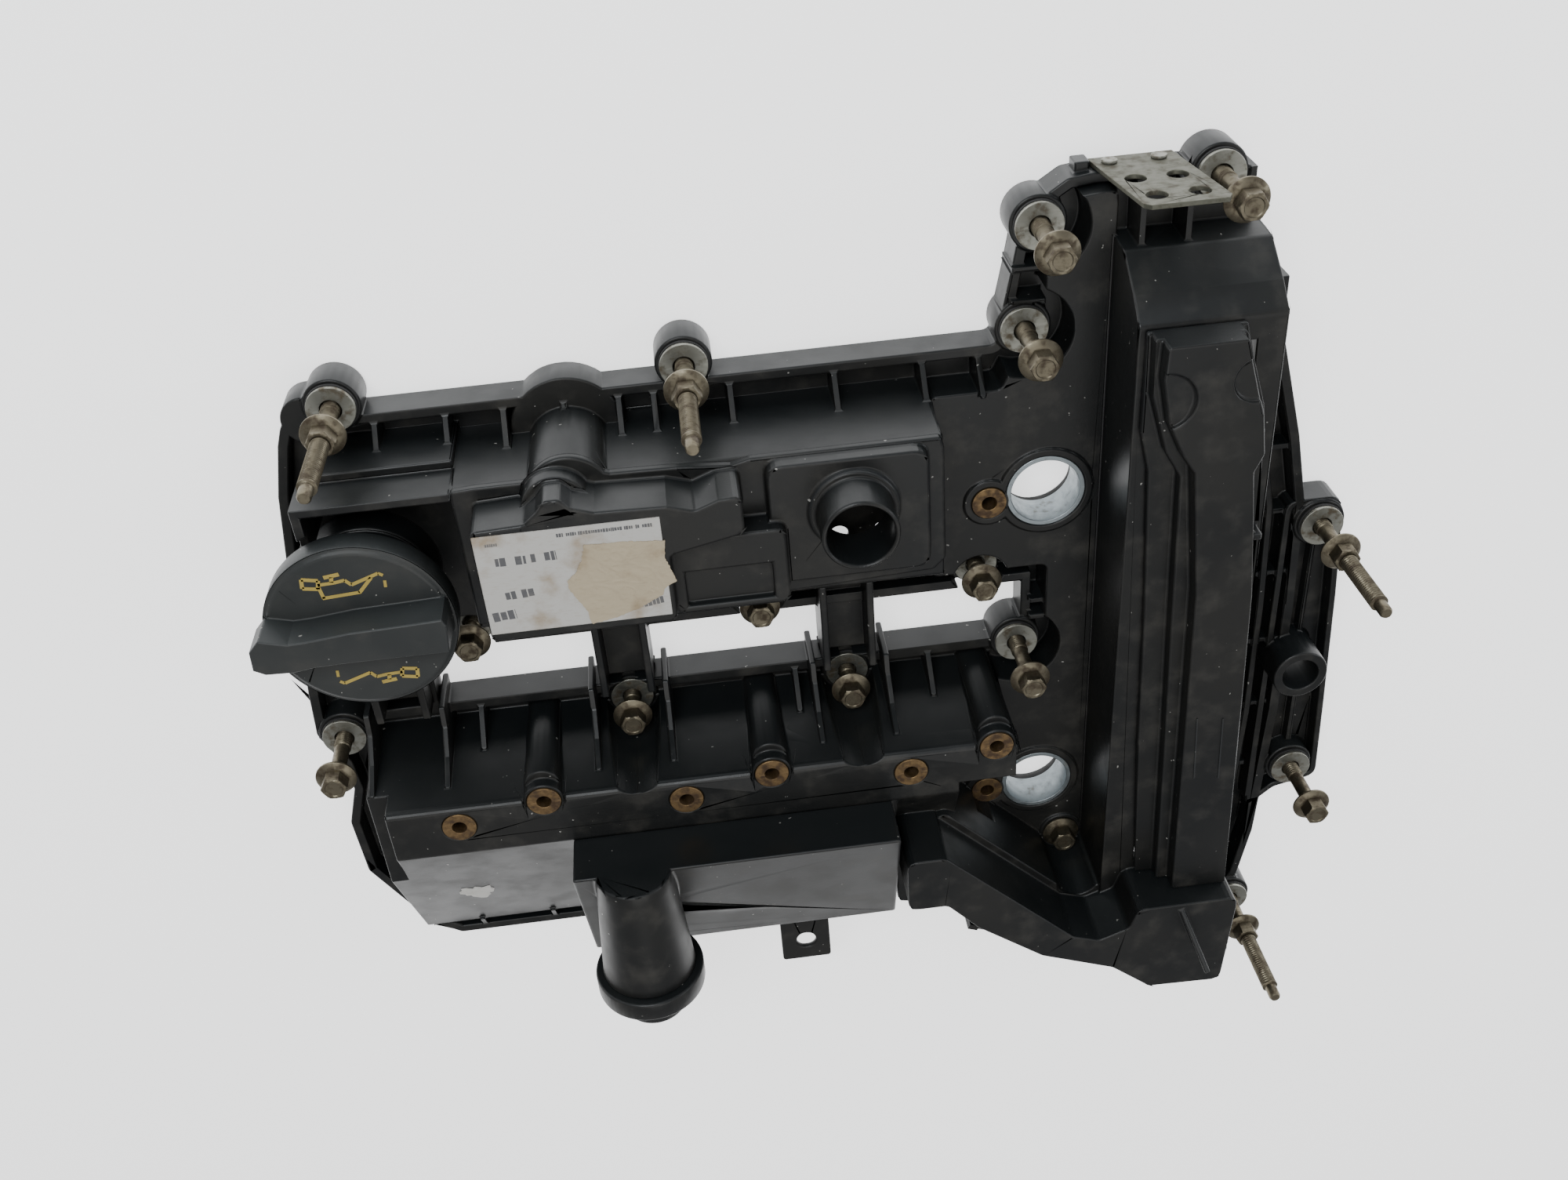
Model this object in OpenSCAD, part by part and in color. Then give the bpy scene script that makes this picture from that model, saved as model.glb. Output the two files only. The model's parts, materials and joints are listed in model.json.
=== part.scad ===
// Camshaft cover of a small three-cylinder engine.
// Frame: X along the crankshaft toward the timing end, Y across the two camshafts,
// Z up and away from the engine. Origin on the gasket face, midway between the two
// control-valve bores and on the centre plane of the middle cylinder.

/* [Cover moulding] */
// Wall thickness of the moulding
wall_t = 3; // [2:0.5:4]
// Height of the sealing lip
lip_h = 12; // [9:1:15]
// Thickness of the sealing lip
lip_t = 3.5; // [2.5:0.5:5]
// Thickness of the flange floor
floor_t = 4; // [3:0.5:6]
// Height of the control-valve deck
deck_z = 18; // [14:1:24]
// Height of the seam that carries the upper separator
seam_z = 42; // [36:1:48]
// Height of the lower cam gallery
gallery_z = 50; // [44:1:56]
// Height of the timing housing ledge
ledge_z = 47; // [40:1:54]
// Height of the lower separator and the timing corner
corner_z = 68; // [60:1:74]

/* [Fasteners] */
// Outer radius of a bolt boss
boss_r = 9; // [8:0.5:11]
// Height of a bolt boss
boss_h = 13; // [11:0.5:16]
// Bore radius of a bolt boss
boss_bore_r = 5.5; // [5:0.25:6.5]
// Radius of the flanged sleeve top
sleeve_flange_r = 7.6; // [7:0.1:8.5]
// Shank radius of the captive bolts
shank_r = 3; // [2.5:0.25:4]
// Travel of the long captive bolts
bolt_lift = 20; // [10:1:25]
// Travel of the short captive bolts
short_lift = 10; // [5:1:12]
// Hexagon size across flats
hex_af = 8; // [8:1:10]

/* [Control-valve ports] */
// Distance from the centre line to each control-valve bore
port_y = 64; // [58:1:70]
// Position of the control-valve bores along the crankshaft
port_x = 107.5; // [100:0.5:115]
// Bore radius of the steel port sleeve
port_r = 11.6; // [10:0.1:13]

/* [Oil filler] */
// Position of the filler neck along the crankshaft
filler_x = -114; // [-118:1:-110]
// Position of the filler neck across the cover
filler_y = 64; // [60:1:68]
// Radius of the cap
cap_r = 29.3; // [26:0.1:32]
// Height of the seat under the cap
cap_z = 46; // [42:1:50]

/* [Ventilation] */
// Outer radius of the hose port
hose_r = 11.9; // [10:0.1:14]
// Height of the hose port rim
hose_z = 66; // [60:1:72]
// Radius of the ventilation valve housing at its outer end
valve_r = 16.5; // [14:0.5:18]

/* [Shown] */
// Which node to draw

/* [Hidden] */

bridge_x = [-117, -39, 39];
row_a_x = [-71, 7, 85];
row_b_x = [-101, -23, 55];
row_a_y = -17;
row_b_y = -24;
insert_r = 5.8;
long_at = [[-115, 120.5], [-6.5, 122], [206.5, 34.7], [191.5, -146.8], [100, 121.5],
    [104, 155], [158.5, 165], [99.5, 0], [-140.7, -7], [209, -77.3]];
short_at = [[-89, 31], [9.5, 31], [86, 31], [-39, -9], [39, -9]];
rim_bolts = [for (i = [0, 1, 2, 3, 4, 5, 6, 8]) long_at[i]];
eye_at = [203, -24];
deck_screw_at = [117.6, -92];
short_boss_h = 6;
seat_z = boss_h + 2.6;
short_seat_z = short_boss_h + 2.6;
valve_x = -43.5;
valve_z = 68;
outline = [[-132, 116], [-135, 108], [-139.5, 90], [-143.5, 63], [-149.5, 11], [-151, -7],
    [-145, -22], [-144, -34], [-149, -50], [-148, -75], [-130, -107], [-120, -114],
    [66, -114], [78, -118], [98, -130], [130, -143], [147, -158], [184, -158],
    [195, -136], [199, -112], [202, -50], [202, 0], [200.5, 44], [195.5, 70], [185, 111],
    [172.5, 145], [166, 160], [150, 168], [121, 168.5], [113, 167.5], [106, 163],
    [98, 150], [96, 139], [92.5, 122], [92, 116]];

// ---- small helpers -------------------------------------------------------
module profile_x(pts, x0, x1) {
    translate([x0, 0, 0])
        rotate([90, 0, 90])
            linear_extrude(x1 - x0)
                polygon(pts);
}

module ring(r_out, r_in, h) {
    difference() {
        cylinder(r = r_out, h = h, $fn = 64);
        translate([0, 0, -1])
            cylinder(r = r_in, h = h + 2, $fn = 64);
    }
}

module bore(x, y, r, z0, z1) {
    translate([x, y, z0])
        cylinder(r = r, h = z1 - z0, $fn = 64);
}

// one corner p between neighbours a and b, drawn as a curve that starts r / tan away
function corner_curve(a, p, b, r) =
    let (
        u = (a - p) / norm(a - p),
        v = (b - p) / norm(b - p),
        half = acos(max(-1, min(1, u * v))) / 2,
        t = min(r / tan(half), 0.45 * norm(a - p), 0.45 * norm(b - p)))
    t < 0.4 ? [p] : [for (k = [0:5])
        let (f = k / 5)
            (1 - f) * (1 - f) * (p + t * u) + 2 * f * (1 - f) * p + f * f * (p + t * v)];

function rounded(pts, r) = [for (i = [0:len(pts) - 1])
    each corner_curve(pts[(i + len(pts) - 1) % len(pts)], pts[i], pts[(i + 1) % len(pts)],
        r)];

// long rounded body along X that stands on the gasket face
module soft_body_x(pts, r, x0, x1) {
    translate([x0, 0, 0])
        rotate([90, 0, 90])
            linear_extrude(x1 - x0)
                intersection() {
                    polygon(rounded(pts, r));
                    translate([-200, 0])
                        square([400, 100]);
                }
}

module slab(x0, x1, y0, y1, z0, z1) {
    translate([x0, y0, z0])
        cube([x1 - x0, y1 - y0, z1 - z0]);
}

module hex_head(h) {
    cylinder(r = hex_af / sqrt(3), h = h, $fn = 6);
}

// ---- plan shapes -----------------------------------------------------------
module plan() {
    polygon(rounded(outline, 4));
}

// the gasket line passes inside the bolts and the eye that stand on the rim
module gasket_plan() {
    difference() {
        plan();
        for (p = concat(rim_bolts, [eye_at]))
            translate(p)
                circle(r = 8, $fn = 64);
    }
}

module windows_plan() {
    difference() {
        translate([-106, 0.5])
            square([207.5, 23.5]);
        for (x = bridge_x)
            translate([x - 9, -1])
                square([18, 26]);
    }
}

module plate_plan() {
    polygon(rounded([[194, 44], [213.5, 44], [216, 25], [217.5, 2], [220, -50], [221.5, -86],
        [205, -90], [194, -100]], 5));
}

module deck_plan(r) {
    difference() {
        polygon(rounded([[69, 103], [69, 34], [109, 34], [109, 8], [92, 8], [92, -30],
            [68, -30], [68, -53], [112, -101], [127, -101], [127, 165],
            [112, 163.5], [106, 150], [106, 128], [92, 103]], r));
        for (p = [long_at[4], long_at[5], long_at[7]])
            translate(p)
                circle(r = 15, $fn = 64);
    }
}

module corner_plan(r) {
    polygon(rounded([[50, -50], [63.5, -50], [110.5, -98], [120, -101.5], [131, -97],
        [134, -88], [171, -88], [168, -131.5], [140.5, -130.5], [126, -117.5],
        [99, -106], [75.5, -87], [64, -73.5], [50, -73.5]], r));
}

module corner_ledge_plan() {
    polygon(rounded([[67.5, -49.8], [62.5, -52.5], [109, -101], [120, -105], [134, -100],
        [139, -90], [131, -85.5], [128.3, -94.5], [120, -98.2], [112.6, -95.9]], 3));
}

module shoulder_plan(r) {
    polygon(rounded([[50, -73], [64, -73], [75.5, -86], [99, -105], [126, -117],
        [140.5, -130], [165, -131], [172, -131.5], [180, -135], [184, -150],
        [146, -150], [129, -135], [81, -115], [69, -100], [50, -98]], r));
}

// ---- shared profiles, Y across and Z up --------------------------------------
lower_outer = [[-10, -6], [-16, gallery_z], [-36, gallery_z], [-107, 13], [-110, 0],
    [-110, -6]];
lower_inner = [[-13, -1], [-18.5, gallery_z - wall_t], [-35, gallery_z - wall_t],
    [-103.5, 11.5], [-106, -1]];
upper_outer = [[104, -6], [103, seam_z], [52, seam_z], [36, deck_z], [34, -6]];
upper_inner = [[101, -1], [100, seam_z - wall_t], [54, seam_z - wall_t],
    [39, deck_z - wall_t], [37, -1]];
housing_outer = [[152, -6], [150, 28], [141, 40], [134, ledge_z], [-112, ledge_z],
    [-118, -6]];
housing_inner = [[149, -1], [147, 26.5], [139.5, 36.5], [133, ledge_z - wall_t],
    [-109.5, ledge_z - wall_t], [-115, -1]];

// ---- cover moulding ----------------------------------------------------------
module lips() {
    linear_extrude(lip_h)
        difference() {
            plan();
            offset(delta = -lip_t)
                plan();
        }
    slab(-128, 101.5, -lip_t, 0.5, 0, lip_h);
    slab(-106, 101.5, 24, 24 + lip_t, 0, lip_h);
    slab(101.5, 105, -lip_t, 24 + lip_t, 0, lip_h);
    slab(-109.5, -106, -lip_t, 24 + lip_t, 0, lip_h);
    translate([-45, 103, 0])
        cylinder(r = 18, h = lip_h, $fn = 64);
    translate([-124, 116, 0])
        cylinder(r = 8, h = lip_h, $fn = 64);
}

module outer_blocks() {
    linear_extrude(floor_t)
        difference() {
            plan();
            windows_plan();
        }
    lips();
    soft_body_x(lower_outer, 3, -125, 72);
    intersection() {
        soft_body_x(lower_outer, 3, 71, 92);
        slab(71, 92, -32, 0, 0, 60);
    }
    intersection() {
        soft_body_x(lower_outer, 3, -132, -124);
        slab(-133, -124, -116, 0, 0, 40);
    }
    soft_body_x(upper_outer, 1.5, -80, 69);
    translate([-45, 98, 0])
        cylinder(r = 13, h = seam_z, $fn = 64);
    slab(-128, -79, 36, 103, 0, deck_z);
    bore(filler_x, filler_y, 24, 0, deck_z);
    slab(-122, -80, 103, 106, 0, 29);
    linear_extrude(deck_z)
        deck_plan(3);
    linear_extrude(corner_z)
        corner_plan(4);
    linear_extrude(ledge_z - 1.2)
        corner_ledge_plan();
    linear_extrude(40)
        shoulder_plan(4);
    soft_body_x(housing_outer, 3, 126, 171);
    slab(127, 170, 149, 166, 0, 14);
    slab(170, 178, -112, 136, 0, 28);
    slab(178, 182, -104, 118, 0, 20);
}

module inner_spaces() {
    difference() {
        union() {
            profile_x(lower_inner, -122, 69);
            intersection() {
                profile_x(lower_inner, 68, 89);
                slab(68, 89, -29, 0, -1, 60);
            }
            intersection() {
                profile_x(lower_inner, -129, -121);
                slab(-130, -121, -116, 0, -1, 37);
            }
        }
        for (x = row_a_x)
            bore(x, row_a_y, 7.2, -2, 60);
        for (x = row_b_x)
            bore(x, row_b_y, 8, 34, 60);
        for (x = [-39, 39])
            bore(x, -9, 12.5, -2, 60);
    }
    difference() {
        profile_x(upper_inner, -78, 66);
        bore(-45, 98, 10, -2, 60);
        for (p = short_at)
            bore(p[0], p[1], 12, -2, 60);
    }
    bore(-45, 98, 10, -1, seam_z - wall_t);
    slab(-70, 60, 62, 97, seam_z - 5, seam_z + 1);
    difference() {
        slab(-125, -77, 39, 100, -1, deck_z - wall_t);
        bore(filler_x, filler_y, 24, -2, 60);
    }
    bore(filler_x, filler_y, 21, -1, deck_z - wall_t);
    translate([0, 0, -1])
        linear_extrude(deck_z - wall_t + 1)
            difference() {
                offset(delta = -wall_t)
                    deck_plan(0);
                translate([107.5, -port_y])
                    circle(r = 17, $fn = 64);
                translate([107.5, port_y])
                    circle(r = 17, $fn = 64);
                for (y = [port_y - 2, -port_y - 2])
                    translate([port_x - 19, y])
                        circle(r = 8.5, $fn = 64);
                translate(deck_screw_at)
                    circle(r = 8, $fn = 64);
            }
    translate([0, 0, -1])
        linear_extrude(corner_z - wall_t + 1)
            offset(delta = -wall_t)
                corner_plan(0);
    translate([0, 0, -1])
        linear_extrude(38)
            offset(delta = -wall_t)
                shoulder_plan(0);
    profile_x(housing_inner, 129, 168);
    slab(129, 175, -109, 133, -1, 25);
    slab(138, 162, -84, 126, ledge_z - 5, ledge_z + 1);
}

module bosses() {
    for (p = long_at)
        bore(p[0], p[1], boss_r, 0, boss_h);
    for (p = short_at)
        bore(p[0], p[1], boss_r, 0, short_boss_h);
}

module insert_columns() {
    difference() {
        for (x = row_a_x) {
            bore(x, row_a_y, 7, 0, gallery_z);
            bore(x, row_a_y + 4, 6, 0, gallery_z - 4);
        }
        for (x = row_a_x)
            bore(x, row_a_y, 5, -1, gallery_z - 16);
    }
}

module pocket_cuts() {
    for (x = [-39, 39]) {
        bore(x, -9, 9.7, short_boss_h, 60);
        slab(x - 9.7, x + 9.7, -9, 1, 14, 60);
    }
    for (i = [0:2])
        bore(short_at[i][0], short_at[i][1], 9.5, short_boss_h, 60);
    bore(filler_x, filler_y, cap_r + 2, 41, 60);
}

module bridges() {
    for (x = bridge_x) {
        slab(x - 9, x + 9, -3, 26, 0, floor_t);
        slab(x - 9, x + 9, 2, 36, floor_t, 9);
        for (s = [-1, 1])
            slab(x + s * 8 - 1.25, x + s * 8 + 1.25, 2, 38, 0, 22);
    }
}

module fins() {
    for (x = bridge_x)
        for (s = [-1, 1])
            profile_x([[5, 0], [5, 20], [-2, 22], [-9, 30], [-14.5, 40], [-17, 40],
                [-13, 0]], x + s * 13 - 1, x + s * 13 + 1);
}

module gussets() {
    for (x = [-104, -82, -64, -45, -28, -17, 7, 40, 68, 86])
        profile_x([[113, 0], [113, lip_h], [103, 21], [102, 21], [102, 0]],
            x - 0.9, x + 0.9);
    for (x = [-92, 20, 68])
        profile_x([[-2, 0], [-2, lip_h], [-12.5, 24], [-14, 24], [-12, 0]],
            x - 0.9, x + 0.9);
    for (x = [-110:27.5:60])
        profile_x([[-111, 0], [-111, lip_h], [-104, 16], [-104, 0]], x - 0.9, x + 0.9);
    for (y = [10, 17])
        slab(104, 110, y - 0.9, y + 0.9, 0, 15);
    for (y = [130, 141])
        slab(96, 107, y - 0.9, y + 0.9, 0, 14);
    for (x = [132, 146])
        slab(x - 0.9, x + 0.9, 149, 166, 0, 26);
    translate([149.5, -89, corner_z - 1])
        rotate(19)
            profile_x([[0, 0], [-20, 0], [-20, 17]], -1, 1);
}

module ladder_flange() {
    linear_extrude(lip_h)
        difference() {
            intersection() {
                offset(delta = -11)
                    plan();
                translate([172, -134])
                    square([40, 280]);
            }
            offset(delta = -13.5)
                plan();
        }
    for (y = [-120, -98, -76, -46, -16, 14, 40, 66, 92, 118])
        slab(180 - abs(y) / 14, 201 - abs(y - 2) * abs(y - 2) / 700, y - 1, y + 1, 0,
            lip_h - 1);
}

module outer_plate() {
    linear_extrude(6)
        plate_plan();
    linear_extrude(lip_h)
        difference() {
            plate_plan();
            offset(delta = -2.5)
                plate_plan();
        }
    bore(eye_at[0], eye_at[1], 10, 0, 24);
    slab(115.5, 120.2, 167, 171, 2, 9);
    slab(208, 210, -68, -30, 0, 10);
    slab(206, 208, -16, 26, 0, 10);
}

module pocket_rim() {
    slab(-128, -80, 100, 103, deck_z - 1, 44);
    slab(-128, -125, 86, 103, deck_z - 1, 44);
}

module port_collars() {
    for (y = [port_y, -port_y]) {
        bore(port_x, y, 16, deck_z - 1, deck_z + 1);
        bore(port_x - 19, y - 2, 8.5, deck_z - 1, deck_z + 1);
    }
    bore(deck_screw_at[0], deck_screw_at[1], 8, deck_z - 1, deck_z + 1);
}

module cover_moulding() {
    color([0.06, 0.065, 0.07])
        difference() {
            union() {
                difference() {
                    outer_blocks();
                    inner_spaces();
                }
                bosses();
                insert_columns();
                bridges();
                fins();
                gussets();
                ladder_flange();
                outer_plate();
                pocket_rim();
                port_collars();
            }
            pocket_cuts();
            for (p = long_at) {
                bore(p[0], p[1], boss_bore_r, -1, 30);
                bore(p[0], p[1], boss_r + 0.2, boss_h, 60);
            }
            for (p = short_at)
                bore(p[0], p[1], boss_bore_r, -1, 30);
            for (x = row_a_x)
                bore(x, row_a_y, insert_r, gallery_z - 12, 60);
            for (x = row_b_x)
                bore(x, row_b_y, insert_r, gallery_z - 12, 60);
            for (y = [port_y, -port_y]) {
                bore(port_x, y, 13.2, -1, 30);
                bore(port_x - 19, y - 2, insert_r, deck_z - 11, 30);
            }
            bore(deck_screw_at[0], deck_screw_at[1], 3.3, -1, 30);
            bore(deck_screw_at[0], deck_screw_at[1], 8, deck_z + 1, 60);
            bore(filler_x, filler_y, 17.5, -1, 30);
            bore(eye_at[0], eye_at[1], 6.5, -1, 30);
            gasket_track(-1, 2.2);
        }
}

module gasket_track(z0, z1) {
    translate([0, 0, z0])
        linear_extrude(z1 - z0) {
            difference() {
                offset(delta = -0.8)
                    gasket_plan();
                offset(delta = -2.7)
                    gasket_plan();
            }
        }
}

// ---- separators and vent covers ------------------------------------------------
module upper_separator_plan() {
    polygon([[-80, 104], [-72, 104.5], [-58, 104.5], [-52, 107], [-38, 107], [-32, 104.5],
        [-12, 104], [4, 102.5], [10, 104], [68, 104], [69, 100], [69, 60], [65, 56],
        [18, 54], [17, 50], [-18, 50], [-18, 54], [-80, 55]]);
    translate([-45, 98])
        circle(r = 13.5, $fn = 64);
}

module breather_plan() {
    polygon(rounded([[-74, 60], [-74, 99.5], [-58, 100.2], [-54, 103.5], [-51, 107.3],
        [-46.5, 107.3], [-43.5, 104], [-37, 101.8], [-16, 101], [-8, 98.5],
        [-1, 101.2], [6, 101.5], [6, 88.5], [-17, 83.7], [-17, 60]], 2.5));
}

module upper_separator() {
    color([0.07, 0.075, 0.08])
        difference() {
            union() {
                translate([0, 0, seam_z])
                    linear_extrude(3)
                        upper_separator_plan();
                translate([0, 0, seam_z])
                    linear_extrude(62 - seam_z)
                        breather_plan();
                bore(-48.7, 98, 10.5, seam_z, 51);
                translate([0, 0, seam_z])
                    linear_extrude(8)
                        polygon(rounded([[14, 61], [63.5, 61], [63.5, 103], [14, 103]], 5));
                translate([0, 0, seam_z])
                    linear_extrude(12.5)
                        polygon(rounded([[-17.5, 57], [18.5, 57], [18.5, 84],
                            [-17.5, 84]], 3));
                bore(40, 85.5, 14, seam_z, 52);
                bore(40, 85.5, hose_r, seam_z, hose_z);
            }
            slab(-71, -20, 63, 97, seam_z - 1, 59.5);
            slab(-21, 3, 87.5, 97, seam_z - 1, 59.5);
            slab(-21, 15.5, 63, 81, seam_z - 1, 49);
            slab(17, 60, 64, 99.5, seam_z - 1, 47.5);
            slab(-13.6, 13.6, 59.5, 72, 52, 60);
            bore(40, 85.5, hose_r - 1.6, seam_z - 1, hose_z + 1);
        }
}

module separator_baffle() {
    color([0.16, 0.16, 0.16])
        difference() {
            union() {
                slab(-69, 59, 63.5, 96, 37.5, 39.5);
                slab(4, 12, 63.5, 96, 39, seam_z);
                for (x = [-52, -34])
                    slab(x - 1, x + 1, 70, 96, 39, 52);
            }
            for (x = [-60, -43, -25, 22, 36, 50])
                bore(x, 70, 3, 30, 45);
        }
}

lower_box = [[-36.5, gallery_z - 0.25], [-36.5, corner_z + 2], [-96, 46], [-96, 18.75]];
lower_box_inner = [[-39.5, gallery_z - 3], [-39.5, corner_z - 1.5], [-93, 43.5],
    [-93, 19]];

module valve_cone(r_add, y0, y1) {
    translate([valve_x, y0, valve_z])
        rotate([90, 0, 0])
            cylinder(r1 = 13 + r_add, r2 = valve_r + r_add, h = y0 - y1, $fn = 64);
}

module valve_rod(r, y0, y1) {
    translate([valve_x, y0, valve_z])
        rotate([90, 0, 0])
            cylinder(r = r, h = y0 - y1, $fn = 64);
}

module lower_separator() {
    color([0.07, 0.07, 0.07])
        difference() {
            union() {
                profile_x(lower_box, -64, 48);
                valve_cone(0, -36.5, -83);
                slab(5, 24.5, -143, -95.9, 19, 21.5);
                slab(7, 9, -104, -95.5, 21, 30);
                slab(20.5, 22.5, -104, -95.5, 21, 30);
            }
            difference() {
                profile_x(lower_box_inner, -61, 45);
                valve_cone(0, -36, -90);
            }
            valve_rod(11, -50, -84);
            valve_rod(6, -45, -60);
            bore(15, -133, 3.8, 10, 30);
            valve_rod(19.7, -82.9, -97);
        }
}

module vent_valve_outlet() {
    color([0.05, 0.05, 0.05])
        difference() {
            union() {
                valve_rod(19.2, -83, -91);
                valve_rod(13.5, -90, -97);
                valve_rod(11.6, -96, -102);
            }
            valve_rod(9, -82, -104);
        }
}

module vent_valve_poppet() {
    color([0.75, 0.72, 0.6])
        union() {
            valve_rod(10.7, -66, -69);
            valve_rod(2.5, -58, -66.5);
            valve_rod(4, -68.5, -74);
        }
}

module timing_base_plan() {
    polygon([[128, 133], [158, 133], [167, 96], [170, 0], [170.5, -87.7], [138, -87.7],
        [135, -25], [133.5, 32], [131, 86], [128, 100]]);
}

module timing_step_plan() {
    polygon([[129, 133], [156, 133], [163.5, 108], [165.3, 94], [163, 86], [166.5, 42],
        [168.3, -10], [170, -87.7], [144.4, -87.7], [142.9, -25], [141.1, 32],
        [139.7, 86], [134.6, 95], [129.4, 114]]);
}

module timing_top_plan() {
    polygon([[131, 133], [154.5, 133], [161.6, 107.6], [163.3, 94.1], [160.5, 87.7],
        [162.2, 72.1], [164.9, 42.1], [166.5, -10.3], [168.5, -87.7], [148.6, -87.7],
        [147.4, -17.7], [146.1, 44.8], [141.9, 90], [138.1, 96], [133.2, 107.3],
        [130.5, 121.8]]);
}

module timing_vent_cover() {
    color([0.065, 0.068, 0.07])
        difference() {
            union() {
                translate([0, 0, ledge_z])
                    linear_extrude(2.5)
                        timing_base_plan();
                translate([0, 0, ledge_z])
                    linear_extrude(7)
                        timing_step_plan();
                translate([0, 0, ledge_z])
                    linear_extrude(13)
                        timing_top_plan();
                slab(158, 167.5, 60.5, 62.5, ledge_z, ledge_z + 9);
            }
            translate([0, 0, ledge_z - 1])
                linear_extrude(11.5)
                    offset(delta = -2.5)
                        timing_top_plan();
            bore(131.5, 115.2, 9, ledge_z + 11.8, ledge_z + 14);
            bore(158.5, 119.5, 7, ledge_z + 11.8, ledge_z + 14);
        }
}

// ---- oil filler ----------------------------------------------------------------
module oil_filler_neck() {
    color([0.06, 0.06, 0.065])
        translate([filler_x, filler_y, 0])
            difference() {
                union() {
                    translate([0, 0, 8])
                        cylinder(r = 17.5, h = 12, $fn = 96);
                    translate([0, 0, deck_z])
                        cylinder(r1 = 22, r2 = 20.5, h = 9, $fn = 96);
                    translate([0, 0, 26])
                        cylinder(r = 19.3, h = cap_z - 26, $fn = 96);
                }
                translate([0, 0, 7])
                    cylinder(r = 14.6, h = 50, $fn = 96);
            }
}

module grip_plan() {
    polygon([[-27.3, 8.3], [-19, 5.9], [-13.3, 6.1], [-0.4, 7.5], [13.4, 7.9], [27.3, 8.4],
        [28.3, 6], [27.5, -3.6], [-2.7, -3.4], [-13, -3.6], [-19.6, -4.6], [-28, -4.2],
        [-31.3, -2.2], [-30.8, 4.5]]);
}

module oil_cap() {
    color([0.08, 0.085, 0.095])
        translate([filler_x, filler_y, 0])
            difference() {
                union() {
                    translate([0, 0, cap_z + 1.5])
                        cylinder(r = cap_r, h = 4, $fn = 96);
                    translate([0, 0, cap_z + 5])
                        cylinder(r1 = cap_r, r2 = cap_r - 2, h = 1.5, $fn = 96);
                    translate([0, 0, cap_z - 3])
                        ring(cap_r, cap_r - 2.4, 5);
                    translate([0, 0, cap_z + 6])
                        linear_extrude(13)
                            grip_plan();
                    translate([0, 0, cap_z - 14])
                        cylinder(r = 14.2, h = 17, $fn = 96);
                }
                translate([0, 0, cap_z - 15])
                    cylinder(r = 11.5, h = 14, $fn = 96);
            }
}

module oil_cap_seal() {
    color([0.25, 0.08, 0.06])
        translate([filler_x, filler_y, cap_z])
            ring(18, 14.9, 1.5);
}

// ---- seals, sleeves and inserts ---------------------------------------------------
module cover_gasket() {
    color([0.12, 0.28, 0.2])
        gasket_track(-0.8, 2.2);
}

module port_sleeve(y) {
    color([0.62, 0.66, 0.7])
        translate([port_x, y, 5])
            ring(13.2, port_r, deck_z - 4.3);
}

module port_seals() {
    color([0.1, 0.1, 0.1])
        for (y = [port_y, -port_y])
            translate([port_x, y, 2.5])
                ring(13.2, 12, 2.5);
}

module grommet(p, h) {
    translate([p[0], p[1], 0]) {
        translate([0, 0, 1.5])
            ring(boss_bore_r, 4.6, h - 1);
        translate([0, 0, h])
            ring(7.9, 4.6, 1.2);
    }
}

module bolt_grommets() {
    color([0.09, 0.09, 0.09]) {
        for (p = long_at)
            grommet(p, boss_h);
        for (p = short_at)
            grommet(p, short_boss_h);
    }
}

module sleeve(p, h) {
    translate([p[0], p[1], 0]) {
        translate([0, 0, 0.5])
            ring(4.6, shank_r + 0.35, h + 1);
        translate([0, 0, h + 1.2])
            ring(sleeve_flange_r, shank_r + 0.35, 1.4);
    }
}

module bolt_sleeves() {
    color([0.66, 0.66, 0.62]) {
        for (p = long_at)
            sleeve(p, boss_h);
        for (p = short_at)
            sleeve(p, short_boss_h);
    }
}

module insert_at(x, y, z) {
    translate([x, y, z - 11])
        ring(insert_r, 2.5, 11.3);
}

module inserts_row_a() {
    color([0.5, 0.33, 0.17])
        for (x = row_a_x)
            insert_at(x, row_a_y, gallery_z);
}

module inserts_row_b() {
    color([0.5, 0.33, 0.17])
        for (x = row_b_x)
            insert_at(x, row_b_y, gallery_z);
}

module inserts_deck() {
    color([0.72, 0.55, 0.22])
        for (y = [port_y, -port_y])
            insert_at(port_x - 19, y - 2, deck_z + 1);
}

// ---- captive fasteners ---------------------------------------------------------------
module flange_head() {
    cylinder(r = 6.9, h = 1.2, $fn = 64);
    translate([0, 0, 1])
        cylinder(r1 = 6.4, r2 = 5, h = 1, $fn = 64);
    hex_head(7);
}

module bolt(p, z, grip) {
    color([0.42, 0.38, 0.3])
        translate([p[0], p[1], z]) {
            flange_head();
            translate([0, 0, -grip])
                cylinder(r = shank_r, h = grip + 1, $fn = 48);
        }
}

module stud(p) {
    color([0.4, 0.37, 0.3])
        translate([p[0], p[1], seat_z + 15]) {
            flange_head();
            translate([0, 0, -30])
                cylinder(r = shank_r, h = 31, $fn = 48);
            translate([0, 0, 6])
                cylinder(r = shank_r, h = 26.5, $fn = 48);
            translate([0, 0, 32])
                cylinder(r = 2.2, h = 5.5, $fn = 48);
        }
}

module long_bolt(i) {
    bolt(long_at[i], seat_z + bolt_lift, 35);
}

module short_bolt(i) {
    bolt(short_at[i], short_seat_z + short_lift, 18);
}

module deck_screw() {
    bolt(deck_screw_at, deck_z + 1, 18);
}

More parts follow.
